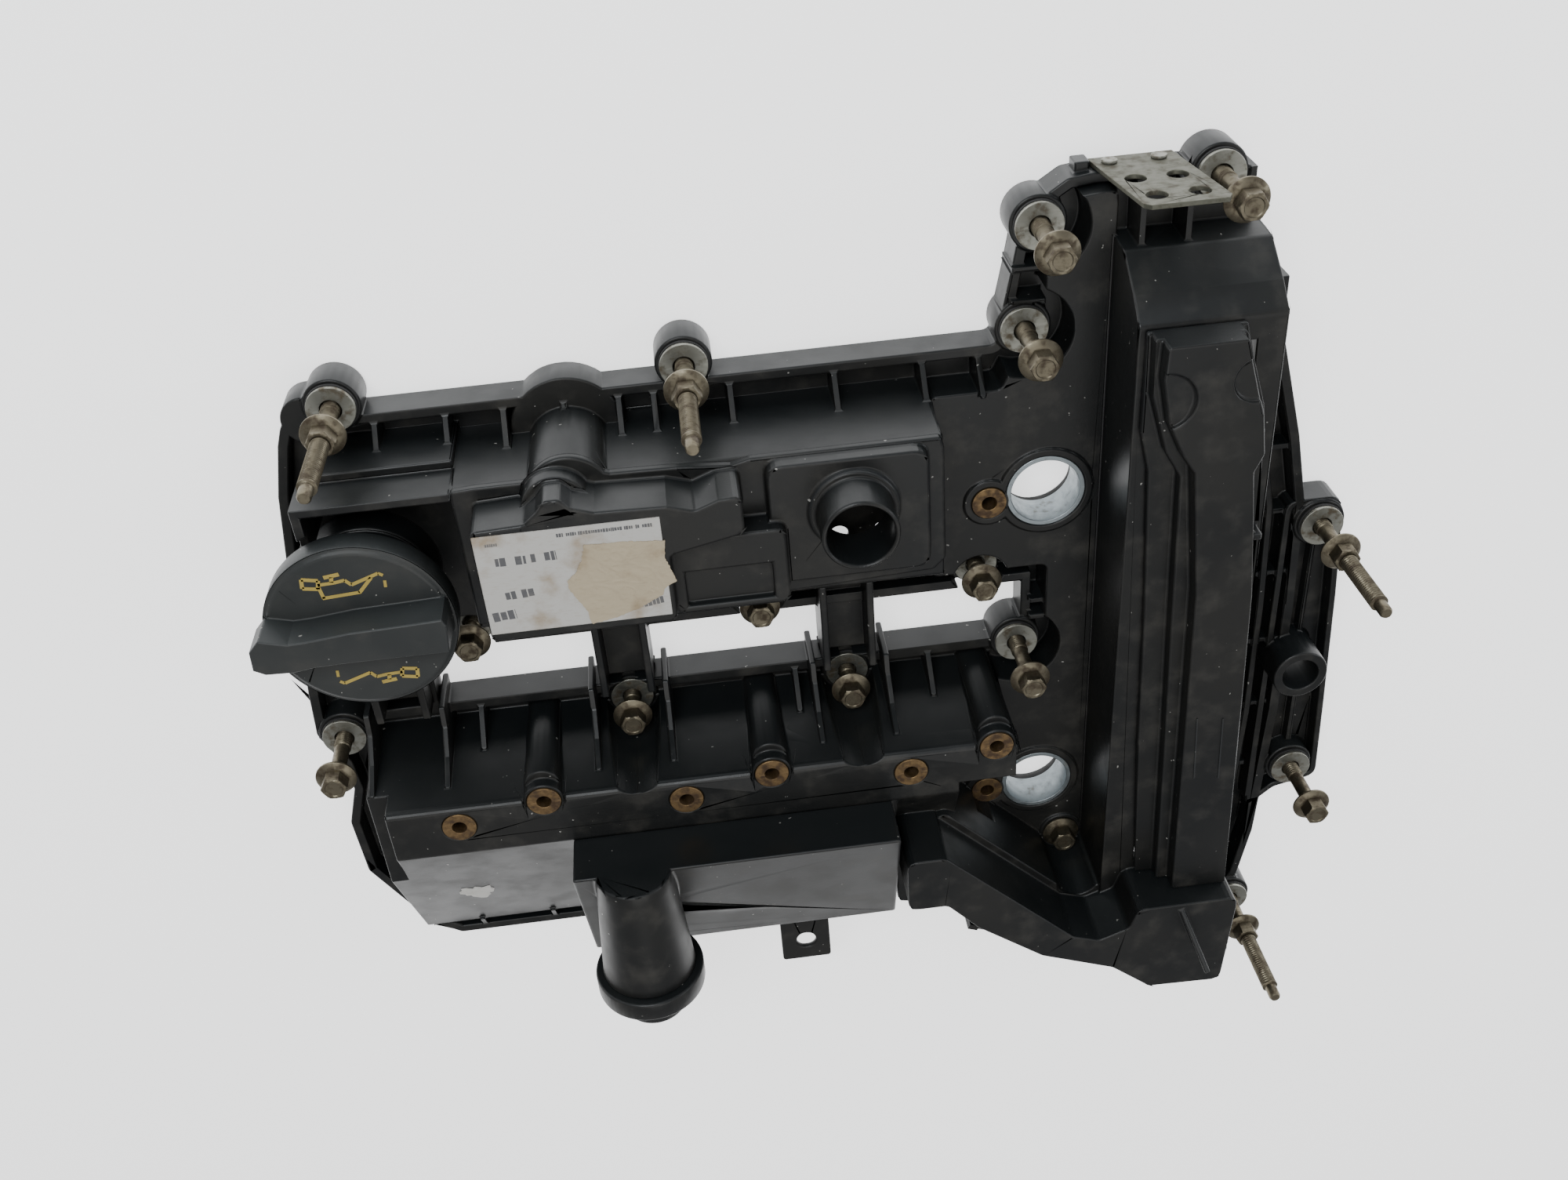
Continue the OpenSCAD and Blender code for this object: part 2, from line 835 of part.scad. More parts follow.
// ---- bracket, clip and paper --------------------------------------------------------
module metal_bracket() {
    color([0.45, 0.46, 0.43])
        difference() {
            translate([0, 170.1, 0])
                rotate([90, 0, 0])
                    linear_extrude(1.5)
                        polygon([[120.5, 4], [146.5, 4], [151.5, 43], [150, 45.5],
                            [128, 45.5], [126, 43.5]]);
            for (p = [[129.5, 24], [142, 24], [131.5, 38], [144, 38]])
                translate([p[0], 175, p[1]])
                    rotate([90, 0, 0])
                        cylinder(r = 3.2, h = 10, $fn = 48);
        }
}

module bracket_rivets() {
    color([0.5, 0.5, 0.48])
        for (x = [126, 141])
            translate([x, 171.1, 9])
                rotate([90, 0, 0])
                    cylinder(r = 2.4, h = 1, $fn = 48);
}

module harness_clip() {
    color([0.05, 0.05, 0.05])
        translate([97, -115 - 16 * 5 / 12, 20])
            rotate(-atan(5 / 12))
                difference() {
                    union() {
                        slab(-14, 11, -8, 0, 0, 15);
                        slab(-17, -13, -9, -6.5, 3, 15);
                    }
                    slab(-12, 9, -6, -2, -1, 16);
                    slab(-4, 1, -9, -5, -1, 16);
                }
}

module label_sheet() {
    color([0.86, 0.85, 0.82])
        slab(-73.5, -18.5, 63, 98, 62, 62.2);
}

module tape_patch() {
    color([0.75, 0.68, 0.53])
        translate([0, 0, 62.2])
            linear_extrude(0.2)
                polygon([[-43, 86], [-36, 92], [-24, 91.5], [-17.5, 90], [-15.5, 76],
                    [-20, 66], [-30, 63.4], [-40, 64], [-45, 72]]);
}

cover_moulding();
upper_separator();
separator_baffle();
lower_separator();
vent_valve_outlet();
vent_valve_poppet();
timing_vent_cover();
oil_filler_neck();
oil_cap();
oil_cap_seal();
cover_gasket();
port_sleeve(port_y);  // port_sleeve_upper
port_sleeve(-port_y);  // port_sleeve_lower
port_seals();
bolt_grommets();
bolt_sleeves();
inserts_row_a();
inserts_row_b();
inserts_deck();
stud(long_at[0]);  // stud_rear
stud(long_at[1]);  // stud_middle
stud(long_at[2]);  // stud_front
stud(long_at[3]);  // stud_corner
long_bolt(4);  // bolt_gallery_front
long_bolt(5);  // bolt_timing_left
long_bolt(6);  // bolt_timing_right
long_bolt(7);  // bolt_window_front
long_bolt(8);  // bolt_window_rear
long_bolt(9);  // bolt_front_low
short_bolt(0);  // short_bolt_rear
short_bolt(1);  // short_bolt_middle
short_bolt(2);  // short_bolt_front
short_bolt(3);  // pocket_bolt_rear
short_bolt(4);  // pocket_bolt_front
deck_screw();
metal_bracket();
bracket_rivets();
harness_clip();
label_sheet();
tape_patch();
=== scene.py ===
import json
import math
import random

import bmesh
import bpy
from mathutils import Matrix, Vector, noise


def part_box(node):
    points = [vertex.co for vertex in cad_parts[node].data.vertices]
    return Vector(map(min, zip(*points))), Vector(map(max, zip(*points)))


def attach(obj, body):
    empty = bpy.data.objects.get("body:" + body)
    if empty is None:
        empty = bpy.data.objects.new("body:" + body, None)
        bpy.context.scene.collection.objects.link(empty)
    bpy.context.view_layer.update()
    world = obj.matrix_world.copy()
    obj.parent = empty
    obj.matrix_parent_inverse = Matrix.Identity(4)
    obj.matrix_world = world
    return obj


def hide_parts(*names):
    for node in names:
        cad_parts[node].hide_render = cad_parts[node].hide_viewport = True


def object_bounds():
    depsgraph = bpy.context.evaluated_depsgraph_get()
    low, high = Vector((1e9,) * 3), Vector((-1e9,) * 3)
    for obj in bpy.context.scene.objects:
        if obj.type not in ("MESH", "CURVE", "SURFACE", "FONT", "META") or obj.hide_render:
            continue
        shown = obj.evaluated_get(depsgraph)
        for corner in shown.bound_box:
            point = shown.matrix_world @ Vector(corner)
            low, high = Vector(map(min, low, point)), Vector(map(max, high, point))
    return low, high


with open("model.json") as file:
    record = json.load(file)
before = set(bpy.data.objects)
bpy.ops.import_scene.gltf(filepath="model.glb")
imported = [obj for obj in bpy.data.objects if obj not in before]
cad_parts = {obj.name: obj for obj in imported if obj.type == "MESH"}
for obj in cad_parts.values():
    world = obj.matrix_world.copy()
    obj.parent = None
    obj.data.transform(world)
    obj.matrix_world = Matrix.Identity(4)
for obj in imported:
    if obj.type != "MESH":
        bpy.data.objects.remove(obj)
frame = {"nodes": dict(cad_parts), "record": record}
cad_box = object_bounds()
nodes = frame["nodes"]
MM = 0.001


# ---- camera and light ------------------------------------------------------
def add_camera():
    """The camera stands on the +Y side, above the cover, and looks down at it."""
    right = Vector((0.99228, -0.07050, 0.10206))
    down = Vector((-0.11615, -0.81690, 0.56496))
    ahead = Vector((0.04355, -0.57245, -0.81878))
    place = Vector((-4.2, 331.1, 439.9)) * MM
    camera = bpy.data.objects.new("camera", bpy.data.cameras.new("camera"))
    bpy.context.scene.collection.objects.link(camera)
    rows = [(right[i], -down[i], -ahead[i], place[i]) for i in range(3)]
    camera.matrix_world = Matrix(rows + [(0, 0, 0, 1)])
    camera.data.sensor_width = 36
    camera.data.lens = 34.848
    camera.data.clip_start = 0.01
    bpy.context.scene.camera = camera


def add_area(name, place, target, size, power, colour):
    """A rectangular lamp at place that shines on target."""
    light = bpy.data.lights.new(name, "AREA")
    light.shape = "RECTANGLE"
    light.size, light.size_y = size
    light.energy = power
    light.color = colour
    lamp = bpy.data.objects.new(name, light)
    bpy.context.scene.collection.objects.link(lamp)
    lamp.location = place
    aim = Vector(target) - Vector(place)
    lamp.rotation_euler = aim.to_track_quat("-Z", "Y").to_euler()


def add_lights():
    """An even pale sky and three soft lamps."""
    world = bpy.data.worlds.new("studio")
    world.use_nodes = True
    background = world.node_tree.nodes["Background"]
    background.inputs["Color"].default_value = (0.97, 0.98, 1.0, 1)
    background.inputs["Strength"].default_value = 0.42
    bpy.context.scene.world = world
    add_area("key", (-0.25, 0.75, 0.85), (0, 0, 0.03), (0.5, 0.3), 6, (0.95, 0.98, 1))
    add_area("top", (0.1, -0.1, 1.3), (0, 0, 0), (1.0, 1.0), 5, (1, 0.99, 0.96))
    add_area("side", (1.0, 0.2, 0.5), (0.1, 0, 0.03), (0.3, 0.6), 2, (0.92, 0.96, 1))


# ---- node material helpers ---------------------------------------------------
class Shader:
    """A small builder for one Principled material in object coordinates."""

    def __init__(self, name):
        self.material = bpy.data.materials.new(name)
        self.material.use_nodes = True
        self.tree = self.material.node_tree
        self.surface = self.tree.nodes["Principled BSDF"]
        self.coords = self.tree.nodes.new("ShaderNodeTexCoord").outputs["Object"]

    def node(self, kind, **settings):
        made = self.tree.nodes.new(kind)
        for key, value in settings.items():
            setattr(made, key, value)
        return made

    def link(self, source, target):
        self.tree.links.new(source, target)

    def noise(self, size_mm, detail=4.0, rough=0.55, stretch=(1, 1, 1), seed=0.0):
        """Noise whose features are about size_mm across; stretch makes them longer."""
        mapping = self.node("ShaderNodeMapping")
        scale = 1000.0 / size_mm
        mapping.inputs["Scale"].default_value = [scale / s for s in stretch]
        mapping.inputs["Location"].default_value = (seed, seed * 1.7, seed * 0.6)
        self.link(self.coords, mapping.inputs["Vector"])
        noise = self.node("ShaderNodeTexNoise")
        noise.inputs["Scale"].default_value = 1.0
        noise.inputs["Detail"].default_value = detail
        noise.inputs["Roughness"].default_value = rough
        self.link(mapping.outputs["Vector"], noise.inputs["Vector"])
        return noise.outputs["Fac"]

    def ramp(self, value, low, high, start=0.0, end=1.0):
        """Maps value from low..high to start..end, smoothly and clamped."""
        remap = self.node("ShaderNodeMapRange", interpolation_type="SMOOTHSTEP")
        remap.inputs["From Min"].default_value = low
        remap.inputs["From Max"].default_value = high
        remap.inputs["To Min"].default_value = start
        remap.inputs["To Max"].default_value = end
        self.link(value, remap.inputs["Value"])
        return remap.outputs["Result"]

    def math(self, operation, a, b):
        made = self.node("ShaderNodeMath", operation=operation)
        for socket, value in zip(made.inputs, (a, b)):
            if isinstance(value, (int, float)):
                socket.default_value = value
            else:
                self.link(value, socket)
        return made.outputs[0]

    def mix(self, factor, a, b):
        made = self.node("ShaderNodeMix", data_type="RGBA")
        for socket, value in zip((made.inputs[0], made.inputs[6], made.inputs[7]),
                                 (factor, a, b)):
            if isinstance(value, (int, float)):
                socket.default_value = value
            elif isinstance(value, tuple):
                socket.default_value = (*value, 1)
            else:
                self.link(value, socket)
        return made.outputs[2]

    def edges(self, low=0.52, high=0.62):
        """1 on convex edges, from the mesh's own pointiness."""
        geometry = self.node("ShaderNodeNewGeometry")
        return self.ramp(geometry.outputs["Pointiness"], low, high)

    def facing_up(self, low=0.2, high=0.9):
        """1 where the surface faces +Z, which is where dust settles."""
        geometry = self.node("ShaderNodeNewGeometry")
        split = self.node("ShaderNodeSeparateXYZ")
        self.link(geometry.outputs["Normal"], split.inputs[0])
        return self.ramp(split.outputs["Z"], low, high)

    def facing_lit_side(self, low=0.35, high=0.95):
        """1 where the surface faces +Y, the lit side of the cover, where a sheen is painted.
        """
        geometry = self.node("ShaderNodeNewGeometry")
        split = self.node("ShaderNodeSeparateXYZ")
        self.link(geometry.outputs["Normal"], split.inputs[0])
        return self.ramp(split.outputs["Y"], low, high)

    def bump(self, heights):
        """heights is a list of (value, strength, distance in mm), stacked."""
        normal = None
        for value, strength, distance in heights:
            made = self.node("ShaderNodeBump")
            made.inputs["Strength"].default_value = strength
            made.inputs["Distance"].default_value = distance * MM
            self.link(value, made.inputs["Height"])
            if normal is not None:
                self.link(normal, made.inputs["Normal"])
            normal = made.outputs["Normal"]
        self.link(normal, self.surface.inputs["Normal"])

    def set(self, **values):
        for key, value in values.items():
            label = key.replace("_", " ").title().replace("Ior", "IOR")
            socket = self.surface.inputs[label]
            if isinstance(value, (int, float)):
                socket.default_value = value
            elif isinstance(value, tuple):
                socket.default_value = (*value, 1)
            else:
                self.link(value, socket)


def nylon(name, base, worn, rough, dust, speckle=0.6, lit_side_sheen=(0.011, 0.0135, 0.0145)):
    """Black glass-filled nylon: satin skin, lighter convex edges, dusty film, and a painted
    bluish sheen on the lit +Y faces.
    """
    s = Shader(name)
    blotch = s.noise(46, detail=4)
    cloud = s.noise(11, detail=6, seed=3.1)
    grain = s.noise(0.5, detail=3, seed=7.7)
    speck = s.noise(1.7, detail=2, rough=0.4, seed=11.3)
    colour = s.mix(s.ramp(blotch, 0.35, 0.68), base, worn)
    # Painted sheen: faces toward +Y get a lighter, colder colour that stands in for the light
    # they catch.
    colour = s.mix(s.math("MULTIPLY", s.facing_lit_side(), 0.7), colour, lit_side_sheen)
    film = s.math("MULTIPLY", s.ramp(cloud, 0.46, 0.78), s.facing_up())
    colour = s.mix(s.math("MULTIPLY", film, dust), colour, (0.075, 0.07, 0.06))
    colour = s.mix(s.math("MULTIPLY", s.edges(), 0.3), colour, (0.05, 0.053, 0.056))
    dots = s.ramp(speck, 0.765, 0.785)
    colour = s.mix(s.math("MULTIPLY", dots, speckle), colour, (0.45, 0.44, 0.41))
    roughness = s.math("ADD", s.ramp(blotch, 0.3, 0.7, rough - 0.05, rough + 0.06),
                       s.ramp(cloud, 0.4, 0.7, 0.0, 0.08))
    s.set(base_color=colour, roughness=roughness, ior=1.5, specular_ior_level=0.36)
    s.bump([(grain, 0.3, 0.05), (s.noise(4.5, seed=2.2), 0.18, 0.12)])
    return s.material


def metal(name, base, stain, rough, stained, tool_marks=False):
    """Plated steel: cloudy plating, brown stain in patches, fine scratches."""
    s = Shader(name)
    cloud = s.noise(3.2, detail=6, seed=1.3)
    fine = s.noise(0.35, detail=4, seed=5.1)
    scratch = s.noise(0.5, detail=2, stretch=(9, 1, 1), seed=8.4)
    patches = s.ramp(cloud, 0.62 - 0.3 * stained, 0.80 - 0.2 * stained)
    colour = s.mix(patches, base, stain)
    colour = s.mix(s.math("MULTIPLY", s.edges(), 0.5), colour,
                   tuple(min(1, c * 1.6) for c in base))
    s.set(base_color=colour, metallic=s.ramp(patches, 0.2, 1.0, 0.95, 0.55),
          roughness=s.math("ADD", s.ramp(cloud, 0.3, 0.7, rough, rough + 0.2),
                           s.ramp(scratch, 0.4, 0.7, 0.0, 0.1)))
    heights = [(fine, 0.25, 0.04), (cloud, 0.2, 0.08)]
    if tool_marks:
        heights.append((s.noise(0.25, detail=1, stretch=(40, 40, 1)), 0.4, 0.05))
    s.bump(heights)
    return s.material


def rubber(name, base):
    """Matt rubber with a faintly cloudy skin."""
    s = Shader(name)
    cloud = s.noise(4, detail=5)
    s.set(base_color=s.mix(s.ramp(cloud, 0.4, 0.7), base, tuple(c * 2 for c in base)),
          roughness=s.ramp(cloud, 0.3, 0.7, 0.6, 0.8))
    s.bump([(s.noise(0.6), 0.3, 0.05)])
    return s.material


def paper(name, base, stain, creases):
    """Paper or tape: faint fibres, blotchy stains and creases."""
    s = Shader(name)
    blotch = s.noise(14, detail=6, seed=4.4)
    fibre = s.noise(0.8, detail=4, stretch=(3, 1, 1))
    colour = s.mix(s.ramp(blotch, 0.5, 0.78), base, stain)
    colour = s.mix(s.ramp(fibre, 0.5, 0.8, 0.0, 0.25), colour, stain)
    s.set(base_color=colour, roughness=0.75)
    s.bump([(s.noise(7, detail=5, seed=9.0), creases, 0.9), (fibre, 0.2, 0.05)])
    return s.material


MATERIALS = {
    "black_nylon": nylon("black_nylon", (0.0062, 0.0068, 0.0070), (0.0115, 0.0113, 0.0102),
                         0.36, 0.32),
    # The keyword colour at the end of a nylon entry is its painted sheen on the +Y faces.
    "cap_plastic": nylon("cap_plastic", (0.024, 0.0265, 0.0265), (0.033, 0.035, 0.034),
                         0.42, 0.25, lit_side_sheen=(0.028, 0.033, 0.034)),
    "natural_plastic": nylon("natural_plastic", (0.60, 0.56, 0.44), (0.5, 0.46, 0.34),
                             0.4, 0.1, lit_side_sheen=(0.6, 0.56, 0.44)),
    "clip_plastic": nylon("clip_plastic", (0.009, 0.009, 0.0085), (0.018, 0.017, 0.015),
                          0.5, 0.5),
    "seal_rubber": rubber("seal_rubber", (0.010, 0.010, 0.010)),
    "gasket_rubber": rubber("gasket_rubber", (0.02, 0.07, 0.045)),
    "sleeve_steel": metal("sleeve_steel", (0.32, 0.36, 0.38), (0.2, 0.2, 0.18), 0.3, 0.1,
                          True),
    "zinc_steel": metal("zinc_steel", (0.30, 0.30, 0.265), (0.11, 0.09, 0.06), 0.36, 0.5),
    "stained_steel": metal("stained_steel", (0.17, 0.15, 0.108), (0.055, 0.040, 0.024),
                           0.34, 0.6),
    "insert_brass": metal("insert_brass", (0.24, 0.16, 0.08), (0.065, 0.039, 0.021), 0.4,
                          0.8),
    "bracket_steel": metal("bracket_steel", (0.13, 0.13, 0.105), (0.07, 0.06, 0.042),
                           0.42, 0.4),
    "label_paper": paper("label_paper", (0.50, 0.49, 0.465), (0.30, 0.22, 0.13), 0.15),
    "tape_paper": paper("tape_paper", (0.44, 0.37, 0.26), (0.25, 0.18, 0.10), 0.4),
    "ink": paper("ink", (0.10, 0.10, 0.105), (0.25, 0.23, 0.2), 0.1),
    "yellow_paint": paper("yellow_paint", (0.42, 0.31, 0.07), (0.24, 0.17, 0.05), 0.1),
    "white_paint": paper("white_paint", (0.62, 0.61, 0.58), (0.4, 0.37, 0.32), 0.4),
}


# ---- CAD nodes -----------------------------------------------------------------
BEVEL_MM = {"cover_moulding": 0.7, "upper_separator": 1.0, "lower_separator": 1.0,
            "timing_vent_cover": 0.9, "oil_cap": 0.6, "oil_filler_neck": 0.8,
            "vent_valve_outlet": 1.0, "cover_gasket": 0.05}
SMALL_BEVEL_MM = 0.25


def soften(piece, width_mm):
    """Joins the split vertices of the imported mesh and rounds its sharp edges."""
    weld = piece.modifiers.new("weld", "WELD")
    weld.merge_threshold = 0.00002
    bevel = piece.modifiers.new("round", "BEVEL")
    bevel.width = width_mm * MM
    bevel.segments = 3
    bevel.limit_method = "ANGLE"
    bevel.angle_limit = math.radians(28)
    bevel.use_clamp_overlap = False
    bevel.harden_normals = True


def dress_cad_nodes():
    """Each CAD node wears the material of its slot and gets rounded edges."""
    slots = {s["node"]: s["material_slot"] for s in frame["record"]["subparts"]}
    for name, piece in nodes.items():
        piece.data.materials.clear()
        piece.data.materials.append(MATERIALS[slots[name]])
        soften(piece, BEVEL_MM.get(name, SMALL_BEVEL_MM))


# ---- pieces built here ---------------------------------------------------------
def finish_piece(name, mesh_data, material, body, replaced=()):
    """Turns a bmesh into a piece that rides on its CAD body and wears its material."""
    bmesh.ops.recalc_face_normals(mesh_data, faces=mesh_data.faces)
    mesh = bpy.data.meshes.new(name)
    mesh_data.to_mesh(mesh)
    mesh_data.free()
    for face in mesh.polygons:
        face.use_smooth = True
    mesh.set_sharp_from_angle(angle=math.radians(32))
    piece = bpy.data.objects.new(name, mesh)
    bpy.context.scene.collection.objects.link(piece)
    mesh.materials.append(MATERIALS[material])
    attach(piece, body)
    if replaced:
        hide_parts(*replaced)
    return piece


def turned(mesh_data, centre, rows, sides):
    """A closed body round a vertical axis; each row is (z, radius(angle, z)), in mm."""
    rings = []
    for z, radius in rows:
        ring = []
        for k in range(sides):
            angle = 2 * math.pi * k / sides
            r = radius(angle, z)
            spot = (centre[0] + r * math.cos(angle), centre[1] + r * math.sin(angle),
                    centre[2] + z)
            ring.append(mesh_data.verts.new(Vector(spot) * MM))
        rings.append(ring)
    for low, high in zip(rings, rings[1:]):
        for k in range(sides):
            n = (k + 1) % sides
            mesh_data.faces.new((low[k], low[n], high[n], high[k]))
    mesh_data.faces.new(rings[0][::-1])
    mesh_data.faces.new(rings[-1])


def plain(r):
    return lambda angle, z: r


def hexagon(across_flats, top):
    """A hexagon whose corners are cut by a 30 degree cone near the top."""
    def radius(angle, z):
        flat = (angle % (math.pi / 3)) - math.pi / 6
        return min(across_flats / 2 / math.cos(flat),
                   across_flats / 2 * 0.97 + (top - z) * 1.73)
    return radius


def thread(r, depth, pitch, z_low, z_high):
    """A screw thread that fades out over half a turn at both ends."""
    def radius(angle, z):
        phase = (z / pitch - angle / (2 * math.pi)) % 1
        fade = min(1, (z - z_low) / (pitch / 2), (z_high - z) / (pitch / 2))
        return r - depth * (1 - abs(2 * phase - 1)) * max(0, fade)
    return radius


SIDES = 32
HEAD_SIDES = 72
FLATS_MM = 7.98
SHANK_MM = 2.98
HEAD_TALL_MM = 7.0
STUD_TALL_MM = 37.5
SEAT_GAP_MM = 0.05
STUD_GRIP_MM = 30.0
LONG_GRIP_MM = 35.0
SHORT_GRIP_MM = 18.0


def screw_rows(z_low, z_high, r):
    """Rows close enough to draw an M6 thread between z_low and z_high."""
    cut = thread(r, 0.42, 1.0, z_low, z_high)
    count = round((z_high - z_low) * 5)
    return [(z_low + (z_high - z_low) * k / count, cut) for k in range(count + 1)]


def add_head(mesh_data, centre):
    """A flanged hexagon head with a dished top, clear of its seat by the gap."""
    hexed = hexagon(FLATS_MM, 6.98)
    rows = [(SEAT_GAP_MM, plain(3.2)), (SEAT_GAP_MM, plain(6.6)), (0.3, plain(6.88)),
            (0.95, plain(6.88)), (1.2, plain(6.55)), (1.45, plain(5.9)), (1.9, plain(5.1)),
            (2.0, hexed)]
    rows += [(z, hexed) for z in (5.6, 6.2, 6.5, 6.75, 6.98)]
    rows += [(6.98, plain(3.1)), (6.72, plain(2.8)), (6.66, plain(0.6))]
    turned(mesh_data, centre, rows, HEAD_SIDES)


def add_fastener(name, grip, stud):
    """One captive fastener: flanged hexagon head, necked and threaded shank."""
    low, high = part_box(name)
    seat = high[2] / MM - (STUD_TALL_MM if stud else HEAD_TALL_MM)
    centre = ((low[0] + high[0]) / 2 / MM, (low[1] + high[1]) / 2 / MM, seat)
    mesh_data = bmesh.new()
    add_head(mesh_data, centre)
    tip = [(-grip, plain(2.0)), (-grip + 0.8, plain(2.35)), (-grip + 2.2, plain(2.4))]
    neck = [(-grip * 0.42 + 0.4, plain(2.6)), (0.2, plain(2.6))]
    turned(mesh_data, centre, tip + screw_rows(-grip + 2.4, -grip * 0.42, SHANK_MM) + neck,
           SIDES)
    if stud:
        rows = [(6.5, plain(2.6)), (7.6, plain(2.6))] + screw_rows(7.8, 31.6, SHANK_MM)
        rows += [(32.0, plain(2.15)), (36.7, plain(2.15)), (37.45, plain(1.7))]
        turned(mesh_data, centre, rows, SIDES)
    finish_piece(name + "_threaded", mesh_data, "stained_steel",
                 "cover" if name == "deck_screw" else name, (name,))


def add_fasteners():
    """Detailed copies stand in for every stud, bolt and the deck screw."""
    for name in nodes:
        if name.startswith("stud_"):
            add_fastener(name, STUD_GRIP_MM, True)
        elif name.startswith("bolt_") and name not in ("bolt_grommets", "bolt_sleeves"):
            add_fastener(name, LONG_GRIP_MM, False)
        elif name.startswith(("short_bolt", "pocket_bolt")) or name == "deck_screw":
            add_fastener(name, SHORT_GRIP_MM, False)


# ---- paint, print and tape ---------------------------------------------------------
def add_strip(mesh_data, start, end, width, z, thick):
    """A flat bar from start to end, in mm, with its under side at z."""
    a, b = Vector(start), Vector(end)
    side = (b - a).normalized().orthogonal() * width / 2
    corners = (a - side, b - side, b + side, a + side)
    under = [mesh_data.verts.new(Vector((c.x, c.y, z)) * MM) for c in corners]
    over = [mesh_data.verts.new(Vector((c.x, c.y, z + thick)) * MM) for c in corners]
    mesh_data.faces.new(under[::-1])
    mesh_data.faces.new(over)
    for k in range(4):
        n = (k + 1) % 4
        mesh_data.faces.new((under[k], under[n], over[n], over[k]))


# An oil can in side view: handle, body, spout, filler and one drop, in mm from the
# middle of the cap.
CAN_STROKES = [
    ((-13.2, 20.4), (-8.4, 19.4), 1.2), ((-8.4, 19.4), (-9.1, 16.4), 1.2),
    ((-9.1, 16.4), (-13.6, 17.2), 1.2), ((-13.6, 17.2), (-13.2, 20.4), 1.2),
    ((-8.9, 17.8), (-4.0, 18.0), 1.1), ((-4.0, 18.0), (-0.7, 18.5), 1.1),
    ((-0.7, 18.5), (0.9, 16.6), 1.1), ((0.9, 16.6), (9.5, 19.6), 1.1),
    ((9.5, 19.6), (10.8, 18.7), 1.0), ((-4.7, 18.2), (-4.3, 20.1), 1.2),
    ((-6.6, 20.2), (-1.9, 20.8), 1.3), ((-8.8, 17.0), (-8.2, 12.8), 1.1),
    ((-8.6, 12.9), (2.8, 13.6), 1.1), ((2.6, 13.4), (7.2, 18.4), 1.1),
    ((10.9, 16.8), (10.7, 14.4), 0.9)]
WORN_STROKES = (11, 12, 13)


def add_cap_marks():
    """The mark stands twice on the cap, turned half round; the far one is worn."""
    low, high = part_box("oil_cap_seal")
    middle = Vector(((low[0] + high[0]) / 2 / MM, (low[1] + high[1]) / 2 / MM))
    face = low[2] / MM + 6.5
    for name, turn, skipped in (("can_mark_near", 1, ()),
                                ("can_mark_far", -1, WORN_STROKES)):
        mesh_data = bmesh.new()
        for k, (start, end, width) in enumerate(CAN_STROKES):
            if k not in skipped:
                add_strip(mesh_data, middle + turn * Vector(start),
                          middle + turn * Vector(end), width, face, 0.12)
        finish_piece(name, mesh_data, "yellow_paint", "cap")


def add_label_print():
    """Plain bars stand where the label is printed; they say nothing."""
    rows = [((-49, 95.6), (-21, 95.6), 1.3), ((-68, 88.6), (-59, 88.6), 3.4),
            ((-57.5, 88.8), (-50, 89.0), 3.4), ((-70, 94.8), (-66, 94.8), 1.1),
            ((-67, 76.4), (-58, 77), 3.0), ((-72, 69.2), (-65, 69.8), 3.6),
            ((-28.5, 68.1), (-20.5, 68.9), 3.2)]
    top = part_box("label_sheet")[1][2] / MM
    chance = random.Random(5)
    mesh_data = bmesh.new()
    for start, end, width in rows:
        length = (Vector(end) - Vector(start)).length
        along = (Vector(end) - Vector(start)) / length
        spot = 0.0
        while spot < length:
            run = chance.uniform(0.5, 1.0) * width * 0.7
            if chance.random() < 0.8:
                add_strip(mesh_data, Vector(start) + along * spot,
                          Vector(start) + along * min(length, spot + run * 0.8),
                          width * chance.uniform(0.75, 1), top, 0.03)
            spot += run
    finish_piece("label_print", mesh_data, "ink", "cover")


def add_paint_blob():
    """A drop of white paint on the slope of the lower gallery."""
    centre = Vector((-105.6, -75.6, 29.6))
    up = Vector((0, -0.46, 0.888)).normalized()
    across = Vector((1, 0, 0))
    down = up.cross(across)
    sides = 24
    chance = random.Random(9)
    mesh_data = bmesh.new()
    rings = []
    outline = [6.2 * (1 + 0.2 * math.sin(3 * a) + 0.22 * chance.uniform(-1, 1))
               for a in [2 * math.pi * k / sides for k in range(sides)]]
    for share, rise in ((1.0, -0.3), (0.97, 0.1), (0.85, 0.25), (0.6, 0.4), (0.3, 0.45)):
        ring = []
        for k, r in enumerate(outline):
            angle = 2 * math.pi * k / sides
            spot = centre + across * (math.cos(angle) * r * share)
            spot = spot + down * (math.sin(angle) * r * share) + up * rise
            ring.append(mesh_data.verts.new(spot * MM))
        rings.append(ring)
    for low, high in zip(rings, rings[1:]):
        for k in range(sides):
            n = (k + 1) % sides
            mesh_data.faces.new((low[k], low[n], high[n], high[k]))
    mesh_data.faces.new(rings[0][::-1])
    mesh_data.faces.new(rings[-1])
    finish_piece("paint_drop", mesh_data, "white_paint", "cover")


TAPE_EDGE = [(-43, 86.5), (-41.7, 91.6), (-30, 91.2), (-17.6, 89.9), (-18.4, 84), (-15.7, 75),
             (-19.5, 73), (-20.5, 70.5), (-28.5, 66.5), (-36, 64), (-43.3, 62.8), (-44, 68),
             (-48.2, 76), (-48.3, 79.4), (-45.6, 82)]


def edge_reach(centre, angle):
    """How far the tape's torn edge is from its middle in one direction."""
    ray = Vector((math.cos(angle), math.sin(angle)))
    reach = 4.0
    for start, end in zip(TAPE_EDGE, TAPE_EDGE[1:] + TAPE_EDGE[:1]):
        a, b = Vector(start) - centre, Vector(end) - Vector(start)
        turn = ray.x * b.y - ray.y * b.x
        if abs(turn) > 1e-6:
            far = (a.x * b.y - a.y * b.x) / turn
            along = (a.x * ray.y - a.y * ray.x) / turn
            if far > 0 and -0.001 <= along <= 1.001:
                reach = max(reach, far)
    return reach


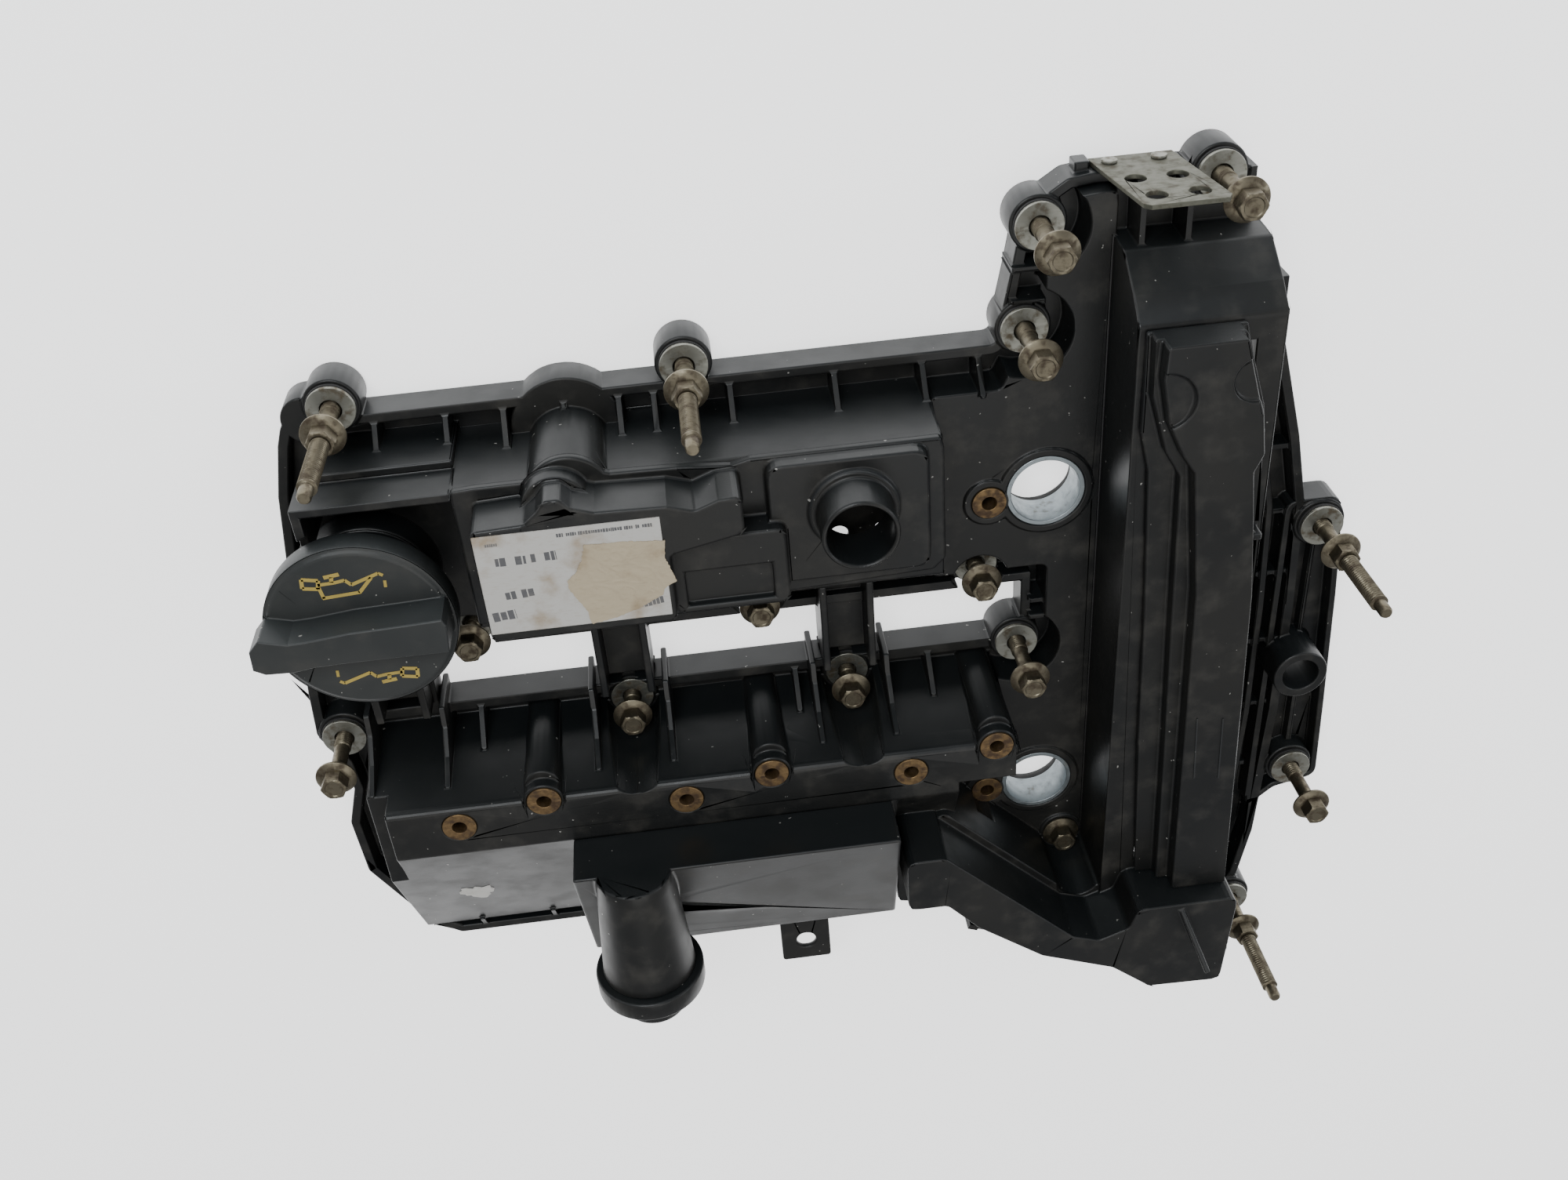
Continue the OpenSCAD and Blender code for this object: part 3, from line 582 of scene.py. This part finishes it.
def add_tape():
    """Torn masking tape on the label: crumpled skin with a ragged edge."""
    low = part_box("tape_patch")[0][2] / MM
    centre = Vector((-31, 78))
    sides = 180
    ring_count = 30
    chance = random.Random(3)
    edge = [edge_reach(centre, 2 * math.pi * k / sides) * (1 - 0.025 * chance.random())
            for k in range(sides)]
    shares = [1 - k / ring_count for k in range(ring_count)]
    mesh_data = bmesh.new()
    rings = []
    for share in [1.0] + shares:
        ring = []
        for k in range(sides):
            angle = 2 * math.pi * k / sides
            r = edge[k] * share
            x, y = centre.x + r * math.cos(angle), centre.y + r * math.sin(angle)
            fold = noise.fractal(Vector((x, y, 2)) * 0.16, 1.0, 2.0, 4)
            crease = abs(noise.noise(Vector((x * 0.22 + y * 0.1, y * 0.3, 7))))
            z = low + 0.16 + max(0, 0.35 * fold) + 0.5 * max(0, 0.12 - crease) * 3
            if not rings:
                z = low + 0.02
            ring.append(mesh_data.verts.new(Vector((x, y, z)) * MM))
        rings.append(ring)
    for outer, inner in zip(rings, rings[1:]):
        for k in range(sides):
            n = (k + 1) % sides
            mesh_data.faces.new((outer[k], outer[n], inner[n], inner[k]))
    mesh_data.faces.new(rings[0][::-1])
    mesh_data.faces.new(rings[-1])
    finish_piece("torn_tape", mesh_data, "tape_paper", "cover",
                 ("tape_patch",))


def add_blank_frame():
    """Two raised lines round a blank field on the timing cover, where type was moulded."""
    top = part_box("timing_vent_cover")[1][2] / MM
    mesh_data = bmesh.new()
    for start, end in (((151.1, -6.6), (152.3, -33.6)), ((160.1, -8.0), (161.0, -35.0))):
        add_strip(mesh_data, start, end, 0.5, top - 0.05, 0.35)
    finish_piece("blank_field", mesh_data, "black_nylon", "cover")


def add_floor():
    """A pale floor under the lowest point of the CAD model."""
    mesh = bpy.data.meshes.new("floor")
    low = cad_box[0][2]
    size = 3.0
    mesh.from_pydata([(-size, -size, low), (size, -size, low), (size, size, low),
                      (-size, size, low)], [], [(0, 1, 2, 3)])
    floor = bpy.data.objects.new("floor", mesh)
    bpy.context.scene.collection.objects.link(floor)
    s = Shader("floor")
    grain = s.noise(60, detail=3)
    s.set(base_color=s.mix(grain, (0.93, 0.93, 0.93), (0.96, 0.96, 0.96)), roughness=0.7,
          emission_color=(1.0, 1.0, 1.0), emission_strength=1.3)
    floor.data.materials.append(s.material)


add_camera()
add_lights()
dress_cad_nodes()
add_fasteners()
add_cap_marks()
add_label_print()
add_tape()
add_paint_blob()
add_blank_frame()
add_floor()
